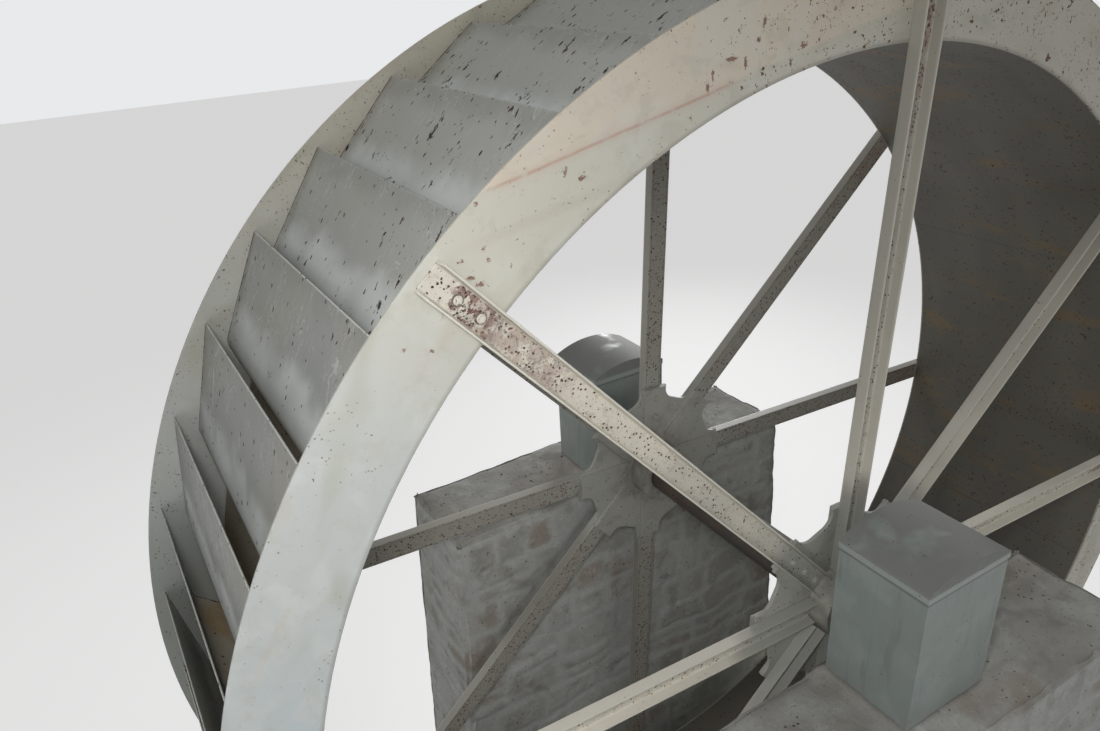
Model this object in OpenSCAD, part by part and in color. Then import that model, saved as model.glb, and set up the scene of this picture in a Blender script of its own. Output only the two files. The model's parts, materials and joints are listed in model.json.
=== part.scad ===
// Overshot water wheel of plate and rolled channel, carried on two masonry piers.
// Origin: ground level under the middle of the axle. The axle lies along Y,
// the near side is at -Y, and the wheel spins about +Y.

/* [Wheel] */
// Radius of the wheel over the rims of the two shrouds
wheel_r = 2440; // [2300:10:2600]
// Height of the axle above the ground at the foot of the piers
axle_h = 2600; // [2560:10:2900]
// Clear width between the two shrouds
bucket_w = 1250; // [1000:10:1500]
// Turn of the whole wheel from the position with one spoke straight up
wheel_turn = -2.7; // [-22:0.1:22]

/* [Shrouds and sole] */
// Radial depth of a shroud ring
shroud_depth = 280; // [250:5:320]
// Plate thickness of a shroud ring
shroud_t = 8; // [6:1:12]
// Gap at the butt joint between two shroud or sole plates
joint_gap = 1.5; // [1:0.5:3]
// Angle from a spoke to the next shroud joint
joint_turn = 28.2; // [15:0.1:32]
// Thickness of the sole plate that closes the buckets at the back
sole_t = 5; // [4:1:8]

/* [Buckets] */
// Number of buckets round the wheel
bucket_count = 40; // [32:8:48]
// Thickness of the bucket sheet
bucket_t = 5; // [3:1:8]
// Turn of the first bucket lip from a spoke
lip_turn = 4.8; // [0:0.1:9]
// Distance of the bucket lip inside the rim
lip_inset = 41; // [20:1:60]
// Distance of the bucket bend inside the rim
bend_inset = 137; // [120:1:160]
// Angle that the flat outer panel covers, seen from the axle
panel_turn = 10.2; // [9:0.1:11]
// Angle from the lip to the foot of the bucket on the sole
foot_turn = 13; // [12.5:0.1:14]
// Radius of the bend, on the middle of the sheet
bend_r = 60; // [30:5:80]
// Thinning of the bucket sheet along the bend, on each of its faces
bend_thin = 0.2; // [0.1:0.1:0.5]

/* [Spokes] */
// Width of the rolled channel over its flanges
spoke_w = 98; // [80:1:110]
// Height of the flanges over the back of the web
flange_h = 48; // [35:1:60]
// Thickness of the web
web_t = 7; // [5:0.5:10]
// Flange thickness at its tip
flange_tip = 6.5; // [5:0.5:9]
// Flange thickness at its root
flange_root = 10; // [9:0.5:13]
// Distance of the spoke's outer end inside the rim
spoke_end_inset = 28; // [15:1:60]
// Gap between the boss of the hub and the inner end of a spoke
spoke_boss_gap = 6; // [2:1:15]

/* [Hubs] */
// Distance from the axle to the square end of a hub arm
arm_r = 445; // [430:5:480]
// Half width of the scallop between two arms
scallop_half = 98; // [85:1:110]
// Radius of the rounded corners of a scallop
scallop_r = 70; // [40:1:80]
// Distance from the axle to the bottom of a scallop
scallop_bottom = 380; // [360:5:400]
// Thickness of a hub arm where a spoke is bolted to it
hub_t = 30; // [24:1:45]
// Thickness of the hub plate between the arms
plate_t = 16; // [10:1:22]
// Half width of the thick bar along each arm, on the inner face
bar_half = 66; // [50:1:70]
// Radius of the boss round the shaft
boss_r = 146; // [130:1:160]
// How far the boss stands out beyond the outer face of the hub
boss_out = 100; // [80:1:110]
// How far the boss stands inward from the outer face of the hub
boss_in = 140; // [80:5:200]

/* [Shaft and bearings] */
// Radius of the shaft between and through the hubs
shaft_r = 90; // [70:1:100]
// Length of full shaft that stands out beyond each boss
shaft_collar = 25; // [10:1:40]
// Radius of the journals in the bearings
journal_r = 60; // [45:1:65]
// Radial clearance of the shaft in the hubs and of the journals in the bearings
bore_clear = 0.05; // [0.02:0.01:0.1]
// Height of the axle above the top of the piers
bearing_h = 150; // [145:1:180]
// Width of a bearing foot across the axle
foot_w = 330; // [280:5:360]
// Thickness of a bearing foot
foot_t = 36; // [25:1:50]
// Length of a bearing along the axle
bearing_len = 150; // [110:5:180]
// Radius of the bearing shell outside
shell_r = 105; // [85:1:120]
// Length of journal that stands out of the bearing at its outer end
journal_out = 30; // [10:5:60]

/* [Bearing covers] */
// Width of a cover across the axle
cover_w = 434; // [400:2:480]
// Length of a cover along the axle
cover_len = 380; // [340:5:420]
// Distance of the cover from the outer face of the shroud
cover_gap = 172; // [150:1:200]
// Height of the cover's eaves above the axle
eave_h = 480; // [400:5:520]
// Rise of the arched lid over its width
arch_rise = 54; // [30:2:80]
// Sheet thickness of cover and lid
cover_t = 3; // [2:0.5:5]
// Depth of the folded edge of the lid
hem_h = 26; // [15:1:40]
// Clearance between cover and lid, and where curved plates meet
seat_gap = 0.3; // [0.2:0.1:0.5]
// Clearance round the shaft where it enters the cover
entry_gap = 12; // [6:1:20]

/* [Piers] */
// Width of a pier across the axle, at its top
pier_w = 2200; // [1600:50:2600]
// Thickness of a pier along the axle, at its top
pier_t = 600; // [560:10:700]
// Distance of the pier's inner face from the outer face of the shroud
pier_gap = 125; // [115:1:145]
// Batter: how much wider the pier is at the foot, on its outer face and its two ends
batter = 90; // [0:5:150]

/* [Hidden] */
$fn = 96;
ring_fn = 360;
arch_fn = 180;
// Overshoot of cutting shapes
cut = 1;
spoke_count = 8;
pitch = 360 / spoke_count;
// Two planes that everything on one side is set from
shroud_in_y = bucket_w / 2;
face_y = shroud_in_y + shroud_t;
sole_r = wheel_r - shroud_depth;
// Pier, bearing and cover places along the axle
pier_in_y = face_y + pier_gap;
cover_in_y = face_y + cover_gap;
bearing_y = cover_in_y + cover_len / 2;
shaft_half = face_y + boss_out + shaft_collar;
journal_half = bearing_y + bearing_len / 2 + journal_out;
pier_top = axle_h - bearing_h;
arch_r = (pow(cover_w / 2, 2) + pow(arch_rise, 2)) / (2 * arch_rise);
// Bucket outline, worked out from the lip, the bend and the foot
lip_r = wheel_r - lip_inset;
corner_r = wheel_r - bend_inset;
heel_r = sole_r + sole_t + seat_gap;
lip = [lip_r, 0];
corner = corner_r * [cos(panel_turn), sin(panel_turn)];
heel = heel_r * [cos(foot_turn), sin(foot_turn)];
to_lip = lip - corner;
to_heel = heel - corner;
lip_dir = atan2(to_lip[1], to_lip[0]);
heel_dir = atan2(to_heel[1], to_heel[0]);
bend = 180 - (360 - (heel_dir - lip_dir));
bend_leg = bend_r * tan(bend / 2);
cream = "#c9c7b4";
shade_cream = "#a9a897";
sheet_grey = "#8f928b";
box_grey = "#7d8783";
stone = "#a8a49c";
iron = "#6d6a63";

// Place a flat shape of the wheel, drawn as seen from the near side, on the plane at depth y
module on_wheel(y, thick) {
  translate([0, y, axle_h]) rotate([90, 0, 0]) linear_extrude(thick, center = true) children();
}

// Mirror what is made for the near side to the far side
module on_side(far) {
  mirror([0, far ? 1 : 0, 0]) children();
}

// Masonry pier: a block with battered outer face and ends, and a plumb face to the wheel
module pier(far) {
  color(stone) on_side(far)
    intersection() {
      translate([0, -pier_in_y, 0]) rotate([90, 0, 0]) linear_extrude(pier_t + batter)
        polygon([
          [-pier_w / 2 - batter, 0], [pier_w / 2 + batter, 0],
          [pier_w / 2, pier_top], [-pier_w / 2, pier_top]
        ]);
      translate([-pier_w, 0, 0]) rotate([90, 0, 90]) linear_extrude(2 * pier_w)
        polygon([
          [-pier_in_y, 0], [-pier_in_y, pier_top],
          [-pier_in_y - pier_t, pier_top], [-pier_in_y - pier_t - batter, 0]
        ]);
    }
}

// Outline of a pedestal bearing seen along the axle, with the shell round the journal
module bearing_outline() {
  circle(shell_r);
  translate([-shell_r, -bearing_h]) square([2 * shell_r, bearing_h]);
  translate([-foot_w / 2, -bearing_h]) square([foot_w, foot_t]);
}

// Ears that hold the cap down, one on each side of the joint at axle height
module bearing_ears(low) {
  ear_t = 28;
  ear_len = 56;
  ear_at = shell_r + 18;
  for (s = [-1, 1])
    translate([s * ear_at, low ? -ear_t / 2 : ear_t / 2]) square([ear_len, ear_t], center = true);
}

// Lower half of the bearing, standing on the pier
module bearing(far) {
  color(iron) on_side(far) on_wheel(-bearing_y, bearing_len) difference() {
    union() {
      intersection() {
        bearing_outline();
        translate([-foot_w, -bearing_h]) square([2 * foot_w, bearing_h]);
      }
      bearing_ears(true);
    }
    circle(journal_r + bore_clear);
  }
}

// Upper half of the bearing, with a low boss for the oil cup
module bearing_cap(far) {
  oil_r = 22;
  oil_h = 18;
  oil_sunk = 6;
  color(iron) on_side(far) {
    on_wheel(-bearing_y, bearing_len) difference() {
      union() {
        intersection() {
          circle(shell_r);
          translate([-shell_r, 0]) square([2 * shell_r, shell_r]);
        }
        bearing_ears(false);
      }
      circle(journal_r + bore_clear);
    }
    translate([0, -bearing_y, axle_h + shell_r - oil_sunk]) cylinder(r = oil_r, h = oil_sunk + oil_h);
  }
}

// End outline of cover or lid: straight sides under an arch, grown by out and cut off at the foot
module arch_outline(out, low) {
  intersection() {
    translate([0, eave_h + arch_rise - arch_r]) circle(arch_r + out, $fn = arch_fn);
    translate([-cover_w / 2 - out, low]) square([cover_w + 2 * out, arch_r + eave_h - low]);
  }
}

// Sheet metal cover round the bearing, open below and closed above by its lid
module cover(far) {
  color(box_grey) on_side(far) difference() {
    on_wheel(-bearing_y, cover_len) arch_outline(0, -bearing_h);
    on_wheel(-bearing_y, cover_len - 2 * cover_t)
      translate([-cover_w / 2 + cover_t, -bearing_h - cut]) square([cover_w - 2 * cover_t, 2 * arch_r]);
    on_wheel(-cover_in_y, 4 * cover_t) {
      circle(shaft_r + entry_gap);
      translate([-shaft_r - entry_gap, -bearing_h - cut]) square([2 * (shaft_r + entry_gap), bearing_h + cut]);
    }
  }
}

// Arched lid with its edge folded down over the walls of the cover
module cover_lid(far) {
  lid_low = eave_h - hem_h;
  color(box_grey) on_side(far) difference() {
    on_wheel(-bearing_y, cover_len + 2 * (seat_gap + cover_t)) arch_outline(seat_gap + cover_t, lid_low);
    on_wheel(-bearing_y, cover_len + 2 * seat_gap) arch_outline(seat_gap, lid_low - cut);
  }
}

// Axle: full round through both hubs, turned down to a journal at each end
module shaft() {
  color(iron) translate([0, 0, axle_h]) rotate([90, 0, 0]) {
    cylinder(r = shaft_r, h = 2 * shaft_half, center = true);
    cylinder(r = journal_r, h = 2 * journal_half, center = true);
  }
}

// Scallop between two hub arms, along +X: two round corners and the flat between them,
// which lies a little higher so that it crosses the round corners
module scallop() {
  corner_off = scallop_half - scallop_r;
  flat_lift = 0.3;
  translate([scallop_bottom + flat_lift, -corner_off]) square(2 * [scallop_r, corner_off]);
  for (s = [-1, 1])
    translate([scallop_bottom + scallop_r, s * corner_off]) circle(scallop_r);
}

// Flat outline of the spider: an octagon with a flat across each arm, scalloped between them
module hub_outline() {
  difference() {
    intersection() {
      rotate(wheel_turn) square(2 * arm_r, center = true);
      rotate(wheel_turn + pitch) square(2 * arm_r, center = true);
    }
    for (k = [0 : spoke_count - 1])
      rotate(wheel_turn + (k + 0.5) * pitch) scallop();
  }
}

// Outline of the thick bars along the arms, crossing at the axle
module bar_outline() {
  intersection() {
    hub_outline();
    for (k = [0 : spoke_count / 2 - 1])
      rotate(wheel_turn + k * pitch) square(2 * [arm_r + cut, bar_half], center = true);
  }
}

// Cast hub: spider plate with a thick bar along each arm, and a boss on both sides of it
module hub(far) {
  color(shade_cream) on_side(far) difference() {
    union() {
      on_wheel(-face_y + plate_t / 2, plate_t) hub_outline();
      on_wheel(-face_y + hub_t / 2, hub_t) bar_outline();
      translate([0, -face_y - boss_out, axle_h]) rotate([-90, 0, 0]) cylinder(r = boss_r, h = boss_out + boss_in);
    }
    translate([0, 0, axle_h]) rotate([90, 0, 0])
      cylinder(r = shaft_r + bore_clear, h = 4 * face_y, center = true);
  }
}

// Narrow radial slots that part a ring into plates
module joint_slots() {
  for (k = [0 : spoke_count - 1])
    rotate(wheel_turn + joint_turn + k * pitch)
      translate([sole_r / 2, -joint_gap / 2]) square([wheel_r, joint_gap]);
}

// Shroud: eight flat ring plates butted end to end
module shroud(far) {
  color(cream) on_side(far) on_wheel(-face_y + shroud_t / 2, shroud_t) difference() {
    circle(wheel_r, $fn = ring_fn);
    circle(sole_r, $fn = ring_fn);
    joint_slots();
  }
}

// Sole: eight curved plates that close the buckets at the back, between the shrouds
module sole_plates() {
  color(sheet_grey) on_wheel(0, bucket_w) difference() {
    circle(sole_r + sole_t, $fn = ring_fn);
    circle(sole_r, $fn = ring_fn);
    joint_slots();
  }
}

// Section of the rolled channel: web at the back, tapered flanges standing out
module channel_section() {
  half = spoke_w / 2;
  polygon([
    [-half, 0], [half, 0], [half, flange_h], [half - flange_tip, flange_h],
    [half - flange_root, web_t], [-half + flange_root, web_t],
    [-half + flange_tip, flange_h], [-half, flange_h]
  ]);
}

// One spoke, bolted with its web flat on shroud and hub
module spoke(far, k) {
  start = boss_r + spoke_boss_gap;
  color(cream) on_side(far)
    translate([0, -face_y, axle_h]) rotate([0, -wheel_turn - k * pitch, 0])
      translate([start, 0, 0]) rotate([90, 0, 0]) rotate([90, 0, 90])
        linear_extrude(wheel_r - spoke_end_inset - start) channel_section();
}

// Bent sheet of one bucket, with its lip at angle zero: two flat legs and the bend,
// which is a little thinner than the flats and runs a short way into them.
// The foot is cut to the curve of the sole
module bucket_outline() {
  panel_len = norm(to_lip) - bend_leg;
  foot_len = norm(to_heel) - bend_leg + bucket_t;
  into = 1;
  reach = 4 * bend_r;
  difference() {
    translate(corner) rotate(lip_dir) mirror([0, 1]) translate([bend_leg, bend_r]) {
      translate([0, -bend_r - bucket_t / 2]) square([panel_len, bucket_t]);
      rotate(-bend) translate([-foot_len, -bend_r - bucket_t / 2]) square([foot_len, bucket_t]);
      difference() {
        circle(bend_r + bucket_t / 2 - bend_thin);
        circle(bend_r - bucket_t / 2 + bend_thin);
        translate([into, -reach / 2]) square(reach);
        rotate(-bend) translate([-reach - into, -reach / 2]) square(reach);
      }
    }
    circle(heel_r, $fn = ring_fn);
  }
}

// One eighth of the buckets, side by side from shroud to shroud
module buckets(group) {
  per_group = bucket_count / spoke_count;
  color(sheet_grey) on_wheel(0, bucket_w)
    for (i = [0 : per_group - 1])
      rotate(wheel_turn + lip_turn + (group * per_group + i) * 360 / bucket_count) bucket_outline();
}

pier(false);  // near_pier
pier(true);  // far_pier
bearing(false);  // near_bearing
bearing(true);  // far_bearing
bearing_cap(false);  // near_bearing_cap
bearing_cap(true);  // far_bearing_cap
cover(false);  // near_cover
cover(true);  // far_cover
cover_lid(false);  // near_cover_lid
cover_lid(true);  // far_cover_lid
shaft();
hub(false);  // near_hub
hub(true);  // far_hub
shroud(false);  // near_shroud
shroud(true);  // far_shroud
sole_plates();
for (k = [1 : spoke_count]) {
  spoke(false, k - 1);
  spoke(true, k - 1);
  buckets(k - 1);
}
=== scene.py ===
import json
import math
import random

import bmesh
import bpy
from bpy.props import FloatProperty, FloatVectorProperty, IntProperty, PointerProperty
from mathutils import Matrix, Vector, noise


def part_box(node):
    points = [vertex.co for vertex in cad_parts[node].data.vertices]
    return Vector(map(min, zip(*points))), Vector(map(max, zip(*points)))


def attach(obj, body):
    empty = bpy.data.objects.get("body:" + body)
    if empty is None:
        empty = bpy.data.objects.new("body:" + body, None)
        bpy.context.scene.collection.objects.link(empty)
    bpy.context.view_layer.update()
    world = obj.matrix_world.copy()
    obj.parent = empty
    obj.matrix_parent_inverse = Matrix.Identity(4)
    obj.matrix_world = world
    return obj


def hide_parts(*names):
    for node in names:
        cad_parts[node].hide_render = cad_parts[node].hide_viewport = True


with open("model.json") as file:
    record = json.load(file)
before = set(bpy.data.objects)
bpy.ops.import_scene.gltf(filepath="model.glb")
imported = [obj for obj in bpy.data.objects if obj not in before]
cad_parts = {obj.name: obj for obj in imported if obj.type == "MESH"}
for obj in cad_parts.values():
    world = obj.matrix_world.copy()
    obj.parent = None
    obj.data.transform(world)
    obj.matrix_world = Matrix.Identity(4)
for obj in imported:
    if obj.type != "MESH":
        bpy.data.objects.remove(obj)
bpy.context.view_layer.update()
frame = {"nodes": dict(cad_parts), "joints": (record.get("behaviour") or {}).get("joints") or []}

bl_info = {
    "name": "Overshot water wheel",
    "version": (1, 0, 0),
    "blender": (4, 5, 0),
    "location": "View3D > Sidebar > Water wheel",
    "description": "Looks of an old painted water wheel on its masonry piers, built round the packed model",
    "category": "Object",
}

AXLE = Vector(frame["joints"][0]["pos_m"])
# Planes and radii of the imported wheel, in metres
RIM_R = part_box("near_shroud")[1].z - AXLE.z
SOLE_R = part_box("sole_plates")[1].z - AXLE.z
FACE_Y = -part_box("near_shroud")[0].y
INNER_Y = -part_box("near_shroud")[1].y
PIER_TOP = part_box("near_pier")[1].z
# Eight spokes; the first stands a little below +X, and a joint of the shroud plates follows each of them
SPOKES = 8
PITCH = 2 * math.pi / SPOKES
TURN = math.radians(-2.7)
JOINT_TURN = math.radians(28.2)
SIDES = (("near", -1), ("far", 1))
# Distances of the bolts from the axle, at the shrouds and at the hubs
SPOKE_BOLTS = (2.303, 2.216)
HUB_BOLTS = (0.392, 0.290, 0.190)
# Faces off the middle plane of the wheel: spoke webs outside, hub arms inside
WEB_Y = FACE_Y + 0.007
HUB_BACK_Y = FACE_Y - 0.030
# From the middle line of a spoke to the toes of its flanges
TOE = 0.0392
# How far the sides of a pier lean in from foot to top
BATTER = 0.09

# Stain line on the near shroud: its height over the axle at x = 0, and its rise along X
STAIN_Z, STAIN_RISE = 2.2555, 0.207
# Chips in the near shroud: place along X, height over the axle, radius, and how upright they are
CHIPS = (
    (-1.216, 1.967, 0.009, 1.2), (-1.165, 1.943, 0.009, 0.8), (-1.470, 1.930, 0.005, 1.0),
    (-1.503, 1.749, 0.009, 0.8), (-1.481, 1.728, 0.008, 0.8), (-1.464, 1.817, 0.005, 1.0),
    (-1.453, 1.783, 0.007, 1.2), (-1.525, 1.795, 0.006, 0.7), (-1.632, 1.586, 0.005, 1.0),
    (-1.592, 1.666, 0.005, 1.0), (-1.704, 1.604, 0.005, 1.0), (-1.387, 1.757, 0.004, 1.0),
    (-0.753, 2.117, 0.009, 1.6), (-0.736, 2.149, 0.009, 2.1), (-0.620, 2.170, 0.010, 1.7),
    (-0.669, 2.184, 0.011, 0.55), (-0.557, 2.267, 0.010, 1.3), (-0.575, 2.223, 0.007, 1.0),
    (-0.448, 2.153, 0.008, 1.5), (-0.402, 2.194, 0.011, 0.7), (-0.810, 2.046, 0.006, 1.3))

# Lamps: name, place, aim, the setting that holds the power, size in metres, spread in degrees
LAMPS = (
    ("key", (-2.45, -2.36, 5.25), (-1.7, -0.6, 3.2), "key", 0.4, 120.0),
    ("fill_left", (-9.0, 6.0, 9.0), (0.0, 0.0, 2.4), "fill", 5.0, 100.0),
    ("fill_right", (9.0, -4.5, 8.5), (0.0, 0.0, 2.4), "fill", 5.0, 100.0),
    ("back", (8.5, 10.5, 5.2), (0.0, 0.5, 2.6), "back", 4.0, 80.0),
    ("low_front", (-6.5, -9.5, 2.0), (-0.5, -0.9, 1.2), "low", 3.0, 90.0))
# Camera, solved from the circles of the shrouds and the edges of the spokes
VIEW_AT = Vector((-2.3395, -2.472, 5.0651))
VIEW_ALONG = Vector((0.4454, 0.7828, -0.4345))
VIEW_RIGHT = Vector((0.8547, -0.5163, -0.054))
LENS, SENSOR = 27.85, 36.0


def turned(angle, along, y=0.0):
    """Point of the wheel at a distance from the axle, at an angle from +X towards +Z."""
    return Vector((along * math.cos(angle), y, AXLE.z + along * math.sin(angle)))


def metres(name, text, value):
    """A length setting, in metres."""
    return FloatProperty(name=name, description=text, default=value, unit="LENGTH")


def amount(name, text, value):
    """A setting of the light."""
    return FloatProperty(name=name, description=text, default=value)


def colour(name, text, value):
    """A colour setting, in linear light."""
    return FloatVectorProperty(name=name, description=text, subtype="COLOR", size=3, default=value)


class WheelSizes(bpy.types.PropertyGroup):
    """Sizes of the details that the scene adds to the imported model."""

    edge: metres("Edge rounding", "Rounding of the sharp edges of the spokes", 0.0015)
    fillet: metres("Rolled fillet", "Fillet between web and flange of a spoke", 0.007)
    cast_fillet: metres("Cast fillet", "Fillet in the inner corners of the hubs", 0.009)
    bolt: metres("Bolt head", "Width across the flats of the spoke bolts", 0.018)
    washer: metres("Washer", "Radius of the washers under the spoke bolts", 0.014)
    hub_bolt: metres("Hub bolt head", "Width across the flats of the hub bolts", 0.024)
    hub_washer: metres("Hub washer", "Radius of the washers under the hub bolts", 0.018)
    seam: metres("Seam width", "Width of the filler in the joints of the shrouds", 0.0022)
    seam_sunk: metres("Seam depth", "How deep the filler lies under the plates", 0.0003)
    stone_len: metres("Stone length", "Usual length of a stone of the piers", 0.36)
    stone_h: metres("Stone height", "Usual height of a stone of the piers", 0.20)
    joint_depth: metres("Joint depth", "Depth of the mortar joints under the stones", 0.013)
    wall_grid: metres("Wall grid", "Spacing of the mesh of a pier", 0.0165)
    seed: IntProperty(name="Seed", description="Start of the random bolt turns and of the stones' wander",
                      default=11)


class WheelColours(bpy.types.PropertyGroup):
    """Colours of the paints, the rust and the masonry."""

    cream: colour("Cream", "Old cream paint of the shrouds", (0.57, 0.54, 0.45))
    # Painted light: the bluish white of daylight on the lower shroud
    painted_daylight_cream: colour("Cool cream", "Bluish white of the lower shroud", (0.53, 0.615, 0.645))
    spoke: colour("Spoke paint", "Cream paint of the spokes", (0.69, 0.655, 0.565))
    hub: colour("Hub paint", "Dull grey cream of the hubs", (0.395, 0.395, 0.358))
    sheet: colour("Sheet grey", "Grey paint of the buckets", (0.285, 0.292, 0.278))
    sheet_warm: colour("Warm grey", "Warmer patches of the grey paint", (0.315, 0.302, 0.252))
    dust: colour("Dust", "Pale dust along the bends", (0.63, 0.655, 0.635))
    scratch: colour("Scratch", "Pale scratches in the grey paint", (0.52, 0.525, 0.50))
    sole: colour("Sole", "Dark inside of the wheel", (0.135, 0.128, 0.108))
    box: colour("Cover paint", "Blue grey paint of the bearing covers", (0.275, 0.315, 0.30))
    box_top: colour("Lid paint", "Darker, duller grey on top of the lids", (0.222, 0.228, 0.214))
    iron: colour("Iron", "Bare dark iron of shaft and bearings", (0.085, 0.075, 0.066))
    rust_dark: colour("Dark rust", "Dark brown rust in the chips", (0.055, 0.036, 0.028))
    rust_red: colour("Red rust", "Reddish brown rust", (0.150, 0.078, 0.058))
    rust_pale: colour("Pale rust", "Pinkish rust that shines through thin paint", (0.36, 0.25, 0.205))
    ochre: colour("Ochre", "Ochre stain of old water", (0.20, 0.145, 0.08))
    lime: colour("Limewash", "Limewash and plaster of the piers", (0.465, 0.475, 0.455))
    stone: colour("Stone", "Stones under the thin limewash", (0.27, 0.255, 0.22))
    grime: colour("Grime", "Dark grime in corners", (0.10, 0.095, 0.08))
    floor: colour("Floor", "Pale floor", (0.80, 0.80, 0.79))


class WheelLight(bpy.types.PropertyGroup):
    """The plain studio light."""

    key: amount("Key", "Power of the lamp beside the camera, in watts", 21.5)
    fill: amount("Fill", "Power of each of the two large fill lamps, in watts", 50.0)
    back: amount("Back", "Power of the large lamp behind the far side, in watts", 190.0)
    low: amount("Low front", "Power of the low lamp before the near side, in watts", 28.0)
    glow: amount("Floor glow", "Light that the floor adds for the camera alone", 0.53)
    sky: amount("Sky", "Strength of the even light from all round", 0.33)


def sizes():
    return bpy.context.scene.wheel_sizes


def paints():
    return bpy.context.scene.wheel_colours


# Materials

class Val:
    """A node socket whose arithmetic adds Math nodes."""

    def __init__(self, finish, socket):
        self.finish, self.socket = finish, socket

    def maths(self, operation, *values):
        return self.finish.node("Math", {"operation": operation}, dict(enumerate(values)))

    def __add__(self, other):
        return self.maths("ADD", self, other)

    def __sub__(self, other):
        return self.maths("SUBTRACT", self, other)

    def __rsub__(self, other):
        return self.maths("SUBTRACT", other, self)

    def __mul__(self, other):
        return self.maths("MULTIPLY", self, other)

    def __truediv__(self, other):
        return self.maths("DIVIDE", self, other)

    def __abs__(self):
        return self.maths("ABSOLUTE", self)

    __radd__ = __add__
    __rmul__ = __mul__

    def least(self, other):
        return self.maths("MINIMUM", self, other)

    def most(self, other):
        return self.maths("MAXIMUM", self, other)

    def root(self):
        return self.maths("SQRT", self)

    def wave(self):
        return self.maths("SINE", self)

    def rise(self, low, high):
        """Smooth step from 0 at low to 1 at high; high may be the smaller one."""
        if high < low:
            return 1 - self.rise(high, low)
        return self.finish.node("MapRange", {"interpolation_type": "SMOOTHSTEP"},
                                {0: self, 1: low, 2: high, 3: 0.0, 4: 1.0})


class Finish:
    """One paint or surface: its colour, roughness and relief are laid on in layers."""

    def __init__(self, name, colour, rough=0.5, metal=0.0):
        self.nodes = {}
        self.material = bpy.data.materials.new(name)
        self.material.use_nodes = True
        self.tree = self.material.node_tree
        self.tree.nodes.clear()
        self.at = self.node("TexCoord", {}, {}, out="Object")
        self.x, self.y, z = (self.node("SeparateXYZ", {}, {0: self.at}, out=i) for i in range(3))
        self.z = z - AXLE.z
        self.r = (self.x * self.x + self.z * self.z).root()
        # Angle round the axle, 0 at the top and growing towards +X; its seam is at the bottom
        self.angle = self.x.maths("ARCTAN2", self.x, self.z)
        self.side = abs(self.y)
        self.colour, self.rough, self.metal, self.relief = self.tint(colour), rough, metal, 0.0

    def node(self, kind, settings, sockets, out=0):
        """An output of a new node, or of one that was made with the same settings and inputs."""
        inputs = [(key, (v.socket.node.name, v.socket.identifier) if isinstance(v, Val) else repr(v))
                  for key, v in sockets.items()]
        like = (kind, *sorted(settings.items()), *inputs)
        if like in self.nodes:
            return Val(self, self.nodes[like].outputs[out])
        n = self.nodes[like] = self.tree.nodes.new("ShaderNode" + kind)
        for key, value in settings.items():
            setattr(n, key, value)
        for key, value in sockets.items():
            if isinstance(value, Val):
                self.tree.links.new(value.socket, n.inputs[key])
            else:
                n.inputs[key].default_value = value
        return Val(self, n.outputs[out]) if n.outputs else None

    def tint(self, value):
        return value if isinstance(value, Val) else (*value[:3], 1.0)

    def mix(self, mask, a, b):
        return self.node("Mix", {"data_type": "RGBA"}, {0: mask, 6: self.tint(a), 7: self.tint(b)}, out=2)

    def place(self, x, y, z):
        return self.node("CombineXYZ", {}, {0: x, 1: y, 2: z})

    def around(self, along=1.0, width=1.0):
        """Coordinates that follow the wheel: along the rim, across it, and outwards."""
        return self.place(self.angle * (2.35 * along), self.y * width, self.r * width)

    def noise(self, scale, detail=3.0, rough=0.55, at=None, warp=0.0, shift=0.0):
        at = at or self.at
        if shift:
            at = self.node("VectorMath", {"operation": "ADD"}, {0: at, 1: (shift, shift * 1.7, -shift)})
        return self.node("TexNoise", {}, {"Vector": at, "Scale": scale, "Detail": detail,
                                          "Roughness": rough, "Distortion": warp})

    def cells(self, scale, at=None, out="Distance"):
        return self.node("TexVoronoi", {}, {"Vector": at or self.at, "Scale": scale}, out=out)

    def dots(self, size, share, at=None, ragged=0.35):
        """Separate specks in a share of the cells, each of its own size."""
        scale = 0.42 / size
        hue = self.cells(scale, at, out="Color")
        pick, grow = (self.node("SeparateColor", {}, {0: hue}, out=i) for i in range(2))
        edge = self.cells(scale, at) + (self.noise(scale * 2.2, 2.0, at=at) - 0.5) * ragged
        reach = grow * 0.30 + 0.10
        # share may itself change over the surface
        keep = (share - pick).rise(0.0, 0.02)
        return (reach - edge).rise(0.0, 0.06) * keep

    def flakes(self, size, level, at=None, spread=7.0, shift=0.0):
        """Ragged flakes that gather in groups; a lower level gives more of them."""
        body = self.noise(0.75 / size, 4.0, 0.62, at, shift=shift)
        group = self.noise(0.75 / (size * spread), 2.0, 0.5, at, shift=shift + 3.0)
        return (body + (group - 0.5) * 0.34 - level).rise(0.0, 0.014)

    def layer(self, mask, colour, rough=None, relief=0.0, metal=None):
        self.colour = self.mix(mask, self.colour, colour)
        if rough is not None:
            self.rough = self.rough + mask * (rough - self.rough)
        if relief:
            self.relief = mask * relief + self.relief
        if metal is not None:
            self.metal = self.metal + mask * (metal - self.metal)

    def rust(self, mask, red=0.35, depth=0.0):
        """Bare rusty iron where the paint has gone, darker or redder from place to place."""
        c = paints()
        hue = self.noise(31.0, 2.0, shift=5.0).rise(0.62 - red * 0.4, 0.74 - red * 0.4)
        self.layer(mask, self.mix(hue, c.rust_dark, c.rust_red), rough=0.9, relief=-depth)

    def done(self, sheen=0.5, glow=None):
        sockets = {"Base Color": self.colour, "Roughness": self.rough, "Metallic": self.metal,
                   "Specular IOR Level": sheen}
        if isinstance(self.relief, Val):
            bump = {"Height": self.relief, "Distance": 1.0, "Strength": 1.0}
            sockets["Normal"] = self.node("Bump", {}, bump)
        if glow:
            sockets["Emission Color"] = glow
            sockets["Emission Strength"] = 1.0
        shader = self.node("BsdfPrincipled", {}, sockets)
        self.node("OutputMaterial", {}, {"Surface": shader})
        return self.material


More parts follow.
